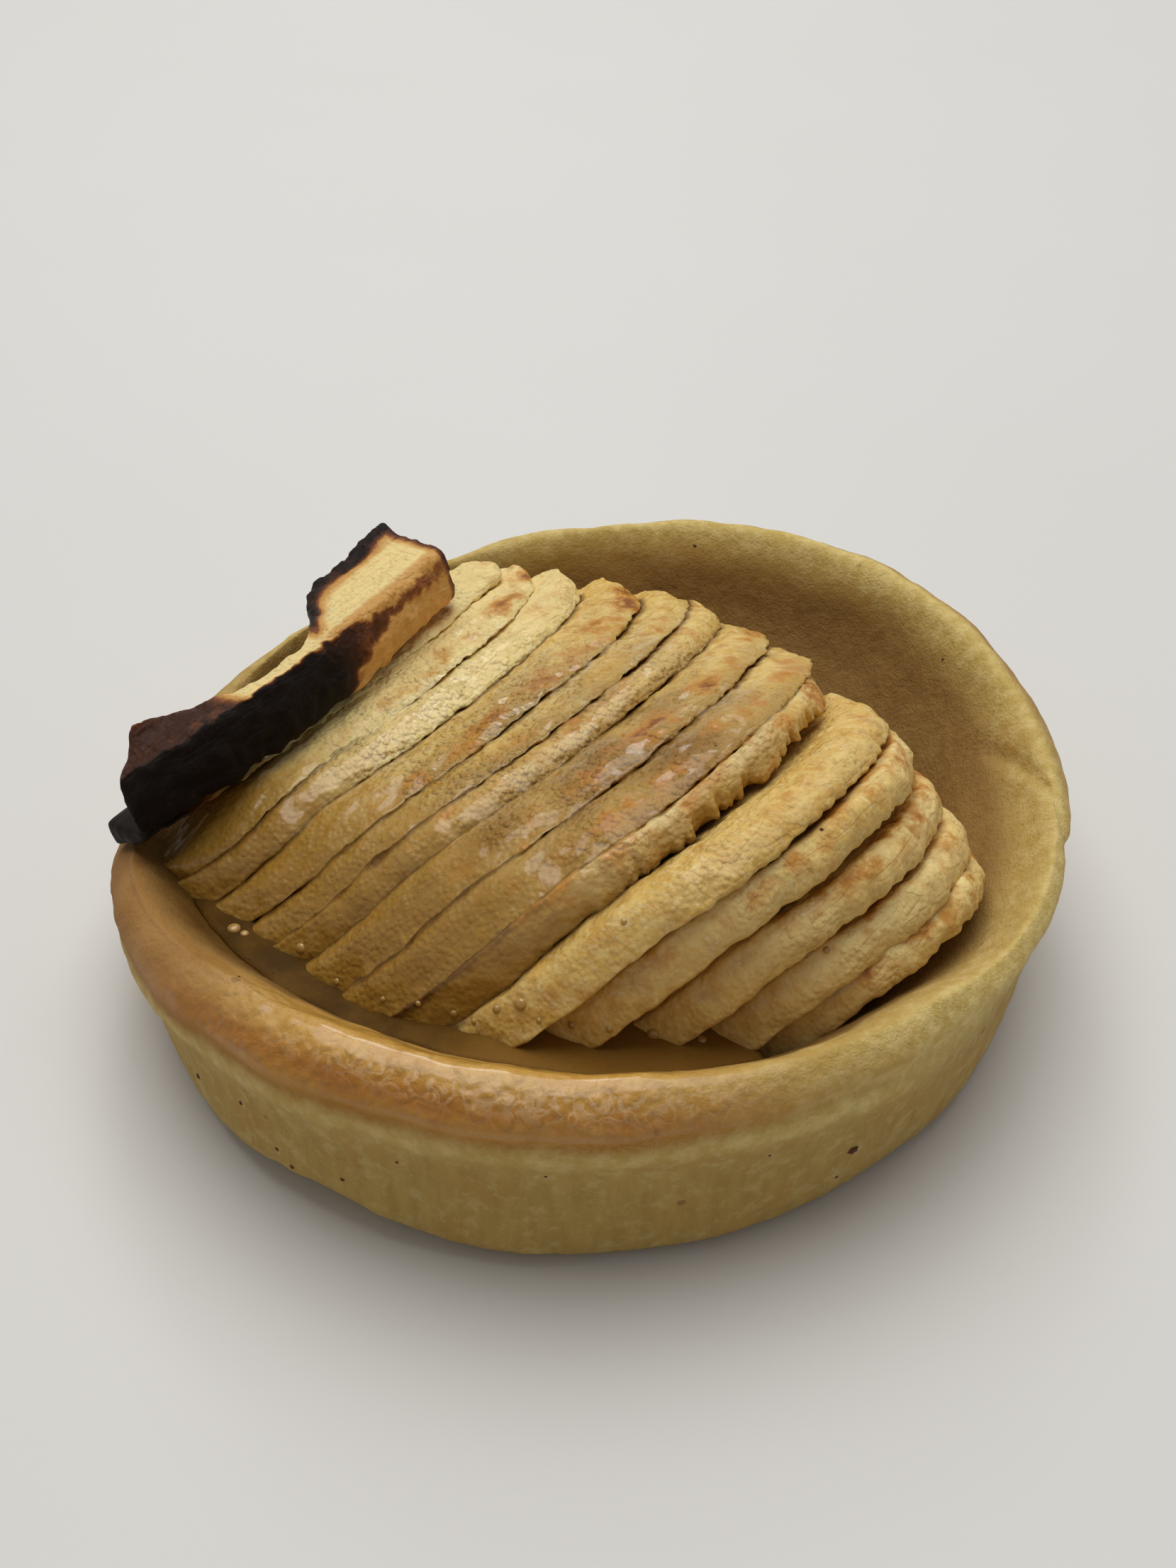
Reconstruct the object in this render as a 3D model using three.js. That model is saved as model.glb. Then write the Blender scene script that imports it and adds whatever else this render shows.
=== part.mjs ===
import * as THREE from 'three';

// Apple tartlet: a hand-formed shortcrust case with half a peeled apple in it, cut into thin
// slices that lean on each other like toppled dominoes. The first slice is burnt and lies highest.
// Millimetres, +Z up, the case stands on z = 0 and is seen from the -Y side.

// Shortcrust case: sizes of its section, as radius from the axis and height over the table
const caseSizes = {
  baseRadius: 44.6,
  footLift: 0,
  lipRadius: 47.8,
  lipHeight: 18,
  crestRadius: 43.6,
  crestHeight: 21.5,
  slopeRadius: 36.5,
  slopeHeight: 12,
  floorRadius: 33.5,
  floorHeight: 4,
};
const footRounding = 1.6;
const lipOverhang = { radius: 0.7, height: 1.6 };
const shoulderAt = { radius: 0.35, height: 0.72 };
const innerFootAt = 0.7;
const ovalness = 1.02;
const caseSegments = 96;
const sectionSteps = 21;

// Where the hand-formed case departs from a true ring: heading and spread in degrees, changes in mm
const handForming = [
  { heading: 128, spread: 40, lipRadius: -2, lipHeight: -3.4, crestRadius: -0.2, crestHeight: -4 },
  { heading: 128, spread: 40, slopeRadius: 5.6 },
  { heading: 50, spread: 36, lipRadius: 2.8, lipHeight: 0.4, crestRadius: 2.8, crestHeight: 0.4 },
  { heading: 50, spread: 40, slopeRadius: 4.5 },
  { heading: 196, spread: 28, lipRadius: 1.6, lipHeight: -2.2, crestRadius: 3.4, crestHeight: -3 },
  { heading: 196, spread: 28, slopeRadius: 8.6, floorRadius: 6, baseRadius: 0.8 },
  { heading: 186, spread: 13, lipHeight: -3, crestHeight: -3 },
  { heading: 160, spread: 20, lipRadius: -1.6, lipHeight: -1.6, crestRadius: -1.6, crestHeight: -1.6 },
  { heading: 236, spread: 34, baseRadius: 2.8, lipRadius: 0.8 },
  { heading: -90, spread: 45, lipHeight: 1.4, crestHeight: 1, baseRadius: 1 },
  { heading: -30, spread: 32, lipHeight: 1, crestRadius: 2.4, crestHeight: -1 },
  { heading: 238, spread: 14, footLift: 2.2 },
];

// Apple slices, from the burnt one at the left to the last one at the right
const groups = { a: 4, b: 3, c: 3, d: 5 };
const fanHeading = 52;
const clearance = 0.3;
const sliceThickness = 3.4;
const tipTurn = 75;
const tipHeight = { front: 5, back: 3.5 };
const crestBulge = 0.5;
const core = { depth: 5, span: 0.34 };
const uneven = { depth: 0.5, step: 2.4 };

// Course of the fan behind the burnt slice: values at even steps along it, joined by a smooth curve.
// Distance and height are those of the foot of a slice's round edge, across the fan. Dip is how much
// lower the slice lies at its front tip than at its back tip.
const fan = {
  distance: [-29.3, -23.6, -11, 9, 24.9],
  height: [21, 11.1, 6, 8.2, 5.7],
  lean: [29, 42.5, 44, 39.5],
  centre: [-6.8, 0, -4.6, 1.4],
  halfLength: [26.8, 35.8, 30.8, 18.4],
  arc: [2, 25, 34.5, 21],
  depth: [7.6, 31, 35, 21.5],
  dip: [3.2, 1.2, 0, 0],
};

// The burnt slice: a thick, nearly straight band that widens at both ends, to a lobe at the front and
// a longer horn at the back, which are both curled up
const burnt = {
  distance: -28.2,
  height: 23.6,
  lean: 18,
  centre: -13.4,
  halfLength: 24.4,
  arc: 4,
  thickness: 6.2,
  dip: 3.6,
};
const horn = { width: 10, from: 0.05, to: 0.4, curl: 3 };
const lobe = { width: 4.2, from: -0.6, to: -0.15, curl: 3.2, skew: 5.8 };
const bandWidth = 2.8;

// The front tip of the slice under the burnt one lies on the rim
const longTip = { slice: 1, from: -0.4, length: 3 };

// Share of a slice's bare upper side that the round edge on top of it covers: most of it inside a
// group, less where a group starts, and none at the gap over the last group
const coverShare = { inside: 0.85, groupStart: 0.45, gap: 0 };

// The lower side of the last slice of group c is torn along its edge, over a gap
const tornSlice = 'apple_slice_c3';
const tear = { depth: 1.3, at: 0.2, spread: 0.45 };

const slicePlanLines = 20;
const sliceDepthLines = 4;

const finishes = {
  pastry: { color: 0xb4935a, roughness: 0.7 },
  apple: { color: 0xc4a062, roughness: 0.5 },
  burnt: { color: 0x4a3322, roughness: 0.5 },
};

const radians = THREE.MathUtils.degToRad;
const lerp = THREE.MathUtils.lerp;

function bump(angle, heading, spread) {
  const turn = Math.atan2(Math.sin(angle - radians(heading)), Math.cos(angle - radians(heading)));
  return Math.exp(-((turn / radians(spread)) ** 2));
}

function along(values, t) {
  const curve = new THREE.SplineCurve(values.map((value, i) => new THREE.Vector2(i, value)));
  return curve.getPoint(t).y;
}

// Section of the case at one heading, from the axis under the base to the axis on the floor
function caseSection(angle) {
  const size = { ...caseSizes };
  for (const { heading, spread, ...changes } of handForming) {
    for (const [name, change] of Object.entries(changes)) {
      size[name] += change * bump(angle, heading, spread);
    }
  }
  const foot = new THREE.Vector2(size.baseRadius, footRounding + size.footLift);
  const lip = new THREE.Vector2(size.lipRadius, size.lipHeight);
  const crest = new THREE.Vector2(size.crestRadius, size.crestHeight);
  const slope = new THREE.Vector2(size.slopeRadius, size.slopeHeight);
  const floor = new THREE.Vector2(size.floorRadius, size.floorHeight);
  const underLip = new THREE.Vector2(lip.x - lipOverhang.radius, lip.y - lipOverhang.height);
  const shoulder = new THREE.Vector2(
    lerp(lip.x, crest.x, shoulderAt.radius),
    lerp(lip.y, crest.y, shoulderAt.height),
  );
  const curve = new THREE.SplineCurve([
    foot,
    foot.clone().lerp(underLip, 0.5),
    underLip,
    lip,
    shoulder,
    crest,
    crest.clone().lerp(slope, 0.5),
    slope,
    slope.clone().lerp(floor, innerFootAt),
    floor,
  ]);
  return [
    new THREE.Vector2(0, 0),
    new THREE.Vector2(size.baseRadius - footRounding - size.footLift, 0),
    ...curve.getPoints(sectionSteps),
    new THREE.Vector2(0, size.floorHeight),
  ];
}

function pastryCase() {
  const ring = caseSection(0);
  const geometry = new THREE.LatheGeometry(ring, caseSegments);
  const position = geometry.attributes.position;
  for (let segment = 0; segment <= caseSegments; segment++) {
    const angle = ((segment % caseSegments) / caseSegments) * 2 * Math.PI;
    caseSection(angle).forEach((point, i) => {
      const vertex = segment * ring.length + i;
      position.setXYZ(vertex, point.x * Math.cos(angle), ovalness * point.x * Math.sin(angle), point.y);
    });
  }
  return geometry;
}

const sliceNames = Object.entries(groups).flatMap(([group, count]) =>
  Array.from({ length: count }, (_, i) => `apple_slice_${group}${i + 1}`));

// Where a slice lies in the upright plane across the fan, how it leans and how large it is
function slicePlace(index) {
  if (index === 0) {
    return { ...burnt, lean: radians(burnt.lean) };
  }
  const t = (index - 1) / (sliceNames.length - 2);
  const place = { thickness: sliceThickness };
  for (const [name, values] of Object.entries(fan)) {
    place[name] = along(values, t);
  }
  const change = uneven.depth * Math.sin(uneven.step * index);
  place.arc += change;
  place.depth += change;
  place.lean = radians(place.lean);
  return place;
}

// Share of a slice's dip at a place between its back tip (side 1) and its front tip (side -1)
function dipShare(side) {
  return (1 - Math.sin(side * radians(tipTurn)) / Math.sin(radians(tipTurn))) / 2;
}

// Clear room over a slice's lower face, at a reach from its foot, up to the slice on top of it
function roomAbove(index, reach, side) {
  const under = slicePlace(index);
  const over = slicePlace(index - 1);
  const x = under.distance + reach * Math.cos(under.lean) - over.distance;
  const lowered = (over.dip - under.dip) * dipShare(side);
  const y = under.height + reach * Math.sin(under.lean) - over.height + lowered;
  const offset = x * Math.sin(over.lean) - y * Math.cos(over.lean);
  return offset / Math.cos(under.lean - over.lean) - clearance;
}

// How far a slice's round edge juts out at its foot, over the bare upper side of the slice under it
function overhang(index, side) {
  if (index === sliceNames.length - 1) {
    return 0;
  }
  const over = slicePlace(index);
  const under = slicePlace(index + 1);
  const roundness = Math.cos(side * radians(tipTurn));
  const x = over.distance + over.arc * roundness * Math.cos(over.lean) - under.distance;
  const lowered = (over.dip - under.dip) * dipShare(side);
  const y = over.height + over.arc * roundness * Math.sin(over.lean) - lowered - under.height;
  const bare = under.arc * roundness - x * Math.cos(under.lean) - y * Math.sin(under.lean);
  const startsGroup = sliceNames[index + 1].endsWith('1');
  const share = sliceNames[index] === tornSlice ? coverShare.gap
    : startsGroup ? coverShare.groupStart : coverShare.inside;
  return share * Math.max(0, bare);
}

// Reach of a slice's cut edge, from its front tip (side -1) to its back tip (side 1)
function cutEdge(index, place, side) {
  if (index === 0) {
    const hornHere = THREE.MathUtils.smoothstep(side, horn.from, horn.to);
    const lobeHere = 1 - THREE.MathUtils.smoothstep(side, lobe.from, lobe.to);
    return place.arc - bandWidth - horn.width * hornHere - lobe.width * lobeHere;
  }
  const tip = place.arc * Math.cos(radians(tipTurn)) - (side < 0 ? tipHeight.front : tipHeight.back);
  const chord = place.arc - place.depth;
  const cored = core.depth * Math.exp(-((side / core.span) ** 4));
  return lerp(chord, Math.max(chord, tip), side ** 2) + cored;
}

// How far the inner edge of the burnt slice is curled up
function endCurl(side) {
  const hornHere = THREE.MathUtils.smoothstep(side, horn.from, 1);
  const lobeHere = 1 - THREE.MathUtils.smoothstep(side, -1, lobe.to);
  return horn.curl * hornHere + lobe.curl * lobeHere;
}

// How far a place on a slice is moved back along it: the lobe of the burnt slice is cut askew
function tipShift(index, side, inward) {
  const lobeHere = Math.max(0, (lobe.to - side) / (lobe.to + 1));
  const tipHere = 1 - THREE.MathUtils.smoothstep(side, -1, longTip.from);
  const lobeShift = index === 0 ? lobe.skew * lobeHere * (1 - inward) : 0;
  return lobeShift - (index === longTip.slice ? longTip.length * tipHere : 0);
}

// A half-moon slice: round outer edge, straight cut edge with the core taken out of its middle
function appleSlice(index) {
  const place = slicePlace(index);
  const geometry = new THREE.BoxGeometry(1, 1, 1, slicePlanLines, sliceDepthLines, 2);
  const position = geometry.attributes.position;
  const heading = radians(fanHeading);
  for (let i = 0; i < position.count; i++) {
    const side = -2 * position.getX(i);
    const inward = position.getY(i) + 0.5;
    const level = position.getZ(i) + 0.5;

    const turn = side * radians(tipTurn);
    const bulge = level === 0.5 ? crestBulge : 0;
    const rounded = inward === 1 ? bulge + overhang(index, side) * (1 - level) : 0;
    const reach = lerp(cutEdge(index, place, side), place.arc * Math.cos(turn), inward) + rounded;

    const thickness = index > 0 ? Math.min(place.thickness, roomAbove(index, reach, side)) : place.thickness;
    const tornHere = Math.exp(-(((side - tear.at) / tear.spread) ** 2));
    const torn = sliceNames[index] === tornSlice ? tear.depth * inward ** 2 * tornHere : 0;
    const up = lerp(torn, thickness, level);
    const curl = index === 0 ? endCurl(side) * (1 - inward) ** 2 : 0;

    const out = place.distance + reach * Math.cos(place.lean) - up * Math.sin(place.lean);
    const back = place.centre + place.halfLength * Math.sin(turn) + tipShift(index, side, inward);
    const foot = place.height - place.dip * dipShare(side);
    position.setXYZ(
      i,
      out * Math.sin(heading) + back * Math.cos(heading),
      -out * Math.cos(heading) + back * Math.sin(heading),
      foot + reach * Math.sin(place.lean) + up * Math.cos(place.lean) + curl,
    );
  }
  return geometry;
}

function solid(name, geometry, finish) {
  const mesh = new THREE.Mesh(geometry, new THREE.MeshStandardMaterial({ ...finish, metalness: 0 }));
  mesh.name = name;
  return mesh;
}

const tartlet = new THREE.Group();
tartlet.add(solid('pastry_case', pastryCase(), finishes.pastry));
sliceNames.forEach((name, index) => {
  tartlet.add(solid(name, appleSlice(index), index === 0 ? finishes.burnt : finishes.apple));
});

// The middle of the whole part's footprint is the origin
const bounds = new THREE.Box3().setFromObject(tartlet);
const middle = bounds.getCenter(new THREE.Vector3());
for (const mesh of tartlet.children) {
  mesh.geometry.translate(-middle.x, -middle.y, -bounds.min.z);
  mesh.geometry.computeVertexNormals();
}

export default tartlet;
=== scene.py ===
import math

import bmesh
import bpy
import numpy as np
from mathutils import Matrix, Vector, noise
from mathutils.bvhtree import BVHTree


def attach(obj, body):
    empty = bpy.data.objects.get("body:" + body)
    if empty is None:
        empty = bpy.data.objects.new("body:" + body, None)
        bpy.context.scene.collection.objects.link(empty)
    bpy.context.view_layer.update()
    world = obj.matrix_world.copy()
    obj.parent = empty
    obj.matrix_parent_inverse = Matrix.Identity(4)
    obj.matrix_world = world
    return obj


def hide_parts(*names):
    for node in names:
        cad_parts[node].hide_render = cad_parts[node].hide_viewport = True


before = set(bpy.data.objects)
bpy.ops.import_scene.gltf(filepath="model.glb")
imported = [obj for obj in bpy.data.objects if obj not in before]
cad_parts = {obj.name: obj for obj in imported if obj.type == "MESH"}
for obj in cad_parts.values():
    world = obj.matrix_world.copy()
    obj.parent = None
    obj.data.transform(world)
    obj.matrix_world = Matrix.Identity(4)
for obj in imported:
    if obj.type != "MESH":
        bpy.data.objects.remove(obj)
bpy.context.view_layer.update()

# Apple tartlet: shortcrust case, fanned and glazed apple slices, the first one burnt.
# Metres, +Z up, seen from the -Y side.

MM = 0.001

# The fan's slices run along this heading, and each one reaches out of the fan across it
FAN_HEADING = math.radians(52)
ALONG = np.array([math.cos(FAN_HEADING), math.sin(FAN_HEADING), 0.0])
ACROSS = np.array([math.sin(FAN_HEADING), -math.cos(FAN_HEADING), 0.0])
UP = np.array([0.0, 0.0, 1.0])

SLICES = [name for name in sorted(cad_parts) if name.startswith("apple_slice_")]


# Small tools


def smoothstep(start, end, value):
    t = np.clip((value - start) / (end - start), 0.0, 1.0)
    return t * t * (3.0 - 2.0 * t)


def above_zero(value, softness):
    """The value where it is well above zero and next to nothing below, with a soft change."""
    return 0.5 * (value + np.sqrt(value ** 2 + softness ** 2)) - 0.25 * softness


def bell(value, centre, spread):
    return np.exp(-(((value - centre) / spread) ** 2))


def bell_at_heading(heading, centre, spread):
    turn = (heading - centre + 180.0) % 360.0 - 180.0
    return np.exp(-((turn / spread) ** 2))


def lumps(points, size, seed, detail=2):
    """Smooth noise of about -1 to 1 at each point, with lumps of the given size."""
    shifted = points / size + seed * np.array([7.31, 3.17, 5.73])
    return np.array([noise.fractal(point, 1.0, 2.0, detail) for point in shifted.tolist()])


def lumps_along(distance, size, seed, detail=2):
    """The same noise along a line, for points at the given distances."""
    line = np.arange(distance.min(), distance.max() + size, size / 8)
    return np.interp(distance, line, lumps(np.outer(line, [1, 0, 0]), size, seed, detail))


def positions(mesh):
    flat = np.empty(len(mesh.vertices) * 3)
    mesh.vertices.foreach_get("co", flat)
    return flat.reshape(-1, 3)


def normals(mesh):
    flat = np.empty(len(mesh.vertices) * 3)
    mesh.vertex_normals.foreach_get("vector", flat)
    return flat.reshape(-1, 3)


def set_positions(mesh, points):
    mesh.vertices.foreach_set("co", points.astype(np.float32).ravel())
    mesh.update()


def set_mask(mesh, name, values):
    mask = mesh.attributes.new(name, "FLOAT", "POINT")
    mask.data.foreach_set("value", np.clip(values, 0.0, 1.0).astype(np.float32))


def place(name, mesh):
    piece = bpy.data.objects.new(name, mesh)
    bpy.context.scene.collection.objects.link(piece)
    return piece


def rounded_copy(node, name, levels, firm_angle, firmness):
    """A merged copy of a solid with its edges rounded off; sharp edges stay as firm as asked."""
    solid = bmesh.new()
    solid.from_mesh(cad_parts[node].data)
    bmesh.ops.remove_doubles(solid, verts=solid.verts, dist=0.001 * MM)
    bmesh.ops.join_triangles(
        solid,
        faces=solid.faces,
        angle_face_threshold=math.radians(50),
        angle_shape_threshold=math.radians(60),
    )
    crease = solid.edges.layers.float.new("crease_edge")
    for edge in solid.edges:
        if edge.is_manifold and edge.calc_face_angle() > math.radians(firm_angle):
            edge[crease] = firmness
    mesh = bpy.data.meshes.new(name)
    solid.to_mesh(mesh)
    solid.free()
    piece = place(name, mesh)
    rounding = piece.modifiers.new("rounding", "SUBSURF")
    rounding.levels = rounding.render_levels = levels
    seen = piece.evaluated_get(bpy.context.evaluated_depsgraph_get())
    rounded = bpy.data.meshes.new_from_object(seen)
    rounded.name = name
    piece.modifiers.clear()
    piece.data = rounded
    bpy.data.meshes.remove(mesh)
    rounded.materials.clear()
    rounded.shade_smooth()
    return piece


# Material building


def new_material(name):
    material = bpy.data.materials.new(name)
    material.use_nodes = True
    tree = material.node_tree
    tree.nodes.clear()
    output = tree.nodes.new("ShaderNodeOutputMaterial")
    shader = tree.nodes.new("ShaderNodeBsdfPrincipled")
    tree.links.new(shader.outputs["BSDF"], output.inputs["Surface"])
    return material, tree, shader


def colour(red, green, blue):
    """Linear colour from the 0 to 255 values of a screen."""
    linear = []
    for value in (red, green, blue):
        share = value / 255
        linear.append(share / 12.92 if share <= 0.04045 else ((share + 0.055) / 1.055) ** 2.4)
    return (*linear, 1.0)


def socket_of(value, tree, socket):
    if isinstance(value, bpy.types.NodeSocket):
        tree.links.new(value, socket)
    else:
        socket.default_value = value


def mix(tree, share, first, second):
    blend = tree.nodes.new("ShaderNodeMix")
    blend.data_type = "RGBA"
    socket_of(share, tree, blend.inputs["Factor"])
    socket_of(first, tree, blend.inputs["A"])
    socket_of(second, tree, blend.inputs["B"])
    return blend.outputs["Result"]


def maths(tree, operation, first, second=0.0, clamp=False):
    sum_node = tree.nodes.new("ShaderNodeMath")
    sum_node.operation = operation
    sum_node.use_clamp = clamp
    socket_of(first, tree, sum_node.inputs[0])
    socket_of(second, tree, sum_node.inputs[1])
    return sum_node.outputs[0]


def ramp(tree, value, low, high, to_low=0.0, to_high=1.0):
    remap = tree.nodes.new("ShaderNodeMapRange")
    remap.interpolation_type = "SMOOTHSTEP"
    socket_of(value, tree, remap.inputs["Value"])
    remap.inputs["From Min"].default_value = low
    remap.inputs["From Max"].default_value = high
    remap.inputs["To Min"].default_value = to_low
    remap.inputs["To Max"].default_value = to_high
    return remap.outputs["Result"]


def mask_of(tree, name):
    attribute = tree.nodes.new("ShaderNodeAttribute")
    attribute.attribute_name = name
    return attribute.outputs["Fac"]


def object_coordinates(tree, turn=0.0, stretch=(1.0, 1.0, 1.0)):
    source = tree.nodes.new("ShaderNodeTexCoord")
    mapping = tree.nodes.new("ShaderNodeMapping")
    mapping.vector_type = "TEXTURE"
    mapping.inputs["Rotation"].default_value = (0.0, 0.0, turn)
    mapping.inputs["Scale"].default_value = stretch
    tree.links.new(source.outputs["Object"], mapping.inputs["Vector"])
    return mapping.outputs["Vector"]


def noise_at(tree, vector, size, detail=3.0, roughness=0.55, distortion=0.0):
    """Noise with lumps of the given size in metres."""
    texture = tree.nodes.new("ShaderNodeTexNoise")
    tree.links.new(vector, texture.inputs["Vector"])
    texture.inputs["Scale"].default_value = 1.0 / size
    texture.inputs["Detail"].default_value = detail
    texture.inputs["Roughness"].default_value = roughness
    texture.inputs["Distortion"].default_value = distortion
    return texture.outputs["Fac"]


def lines_of(tree, texture, width, strength):
    """Thin lines where a noise passes its middle value."""
    off_line = maths(tree, "ABSOLUTE", maths(tree, "SUBTRACT", texture, 0.5))
    return ramp(tree, off_line, 0.0, width, strength, 0.0)


def new_group(name, inputs, outputs):
    group = bpy.data.node_groups.new(name, "ShaderNodeTree")
    for socket, kind in inputs:
        group.interface.new_socket(socket, in_out="INPUT", socket_type=kind)
    for socket, kind in outputs:
        group.interface.new_socket(socket, in_out="OUTPUT", socket_type=kind)
    return group, group.nodes.new("NodeGroupInput"), group.nodes.new("NodeGroupOutput")


def use_group(tree, group, **values):
    placed = tree.nodes.new("ShaderNodeGroup")
    placed.node_tree = group
    for socket, value in values.items():
        socket_of(value, tree, placed.inputs[socket])
    return placed.outputs


def scaled(tree, vector, size):
    scale = tree.nodes.new("ShaderNodeVectorMath")
    scale.operation = "SCALE"
    tree.links.new(vector, scale.inputs[0])
    socket_of(maths(tree, "DIVIDE", 1.0, size), tree, scale.inputs["Scale"])
    return scale.outputs["Vector"]


def build_specks():
    """Scattered dark specks: a mask of small dots, each in a cell of the given size."""
    group, source, result = new_group(
        "oven_specks",
        [("Vector", "NodeSocketVector"), ("Size", "NodeSocketFloat"), ("Share", "NodeSocketFloat")],
        [("Mask", "NodeSocketFloat")],
    )
    cells = group.nodes.new("ShaderNodeTexVoronoi")
    cells.inputs["Scale"].default_value = 1.0
    group.links.new(scaled(group, source.outputs["Vector"], source.outputs["Size"]), cells.inputs["Vector"])
    near = ramp(group, cells.outputs["Distance"], 0.12, 0.2, 1.0, 0.0)
    chosen = group.nodes.new("ShaderNodeSeparateColor")
    group.links.new(cells.outputs["Color"], chosen.inputs["Color"])
    rare = maths(group, "LESS_THAN", chosen.outputs["Red"], source.outputs["Share"])
    group.links.new(maths(group, "MULTIPLY", near, rare), result.inputs["Mask"])
    return group


def build_blisters():
    """Small blisters and wrinkles of set glaze, as a height from 0 to 1."""
    group, source, result = new_group(
        "glaze_blisters",
        [("Vector", "NodeSocketVector"), ("Size", "NodeSocketFloat")],
        [("Height", "NodeSocketFloat")],
    )
    vector = scaled(group, source.outputs["Vector"], source.outputs["Size"])
    wrinkles = noise_at(group, vector, 1.0, detail=2.0, roughness=0.5, distortion=0.6)
    cells = group.nodes.new("ShaderNodeTexVoronoi")
    cells.feature = "SMOOTH_F1"
    cells.inputs["Scale"].default_value = 1.3
    cells.inputs["Smoothness"].default_value = 0.6
    group.links.new(vector, cells.inputs["Vector"])
    blisters = ramp(group, cells.outputs["Distance"], 0.1, 0.7, 1.0, 0.0)
    wrinkles = maths(group, "MULTIPLY", wrinkles, 0.6)
    blisters = maths(group, "MULTIPLY", blisters, 0.4)
    group.links.new(maths(group, "ADD", wrinkles, blisters), result.inputs["Height"])
    return group


def build_grain():
    """Crumbly baked grain, as a height from 0 to 1."""
    group, source, result = new_group(
        "baked_grain",
        [("Vector", "NodeSocketVector"), ("Size", "NodeSocketFloat")],
        [("Height", "NodeSocketFloat")],
    )
    vector = scaled(group, source.outputs["Vector"], source.outputs["Size"])
    coarse = noise_at(group, vector, 1.0, detail=4.0, roughness=0.65)
    fine = noise_at(group, vector, 0.3, detail=3.0, roughness=0.6)
    coarse = maths(group, "MULTIPLY", coarse, 0.65)
    fine = maths(group, "MULTIPLY", fine, 0.35)
    group.links.new(maths(group, "ADD", coarse, fine), result.inputs["Height"])
    return group


SPECKS = build_specks()
BLISTERS = build_blisters()
GRAIN = build_grain()


def bump(tree, shader, height, depth):
    node = tree.nodes.new("ShaderNodeBump")
    node.inputs["Strength"].default_value = 1.0
    node.inputs["Distance"].default_value = depth
    tree.links.new(height, node.inputs["Height"])
    tree.links.new(node.outputs["Normal"], shader.inputs["Normal"])


def soft_inside(shader, weight, depth):
    shader.inputs["Subsurface Weight"].default_value = weight
    shader.inputs["Subsurface Radius"].default_value = (1.0, 0.55, 0.25)
    shader.inputs["Subsurface Scale"].default_value = depth


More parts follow.
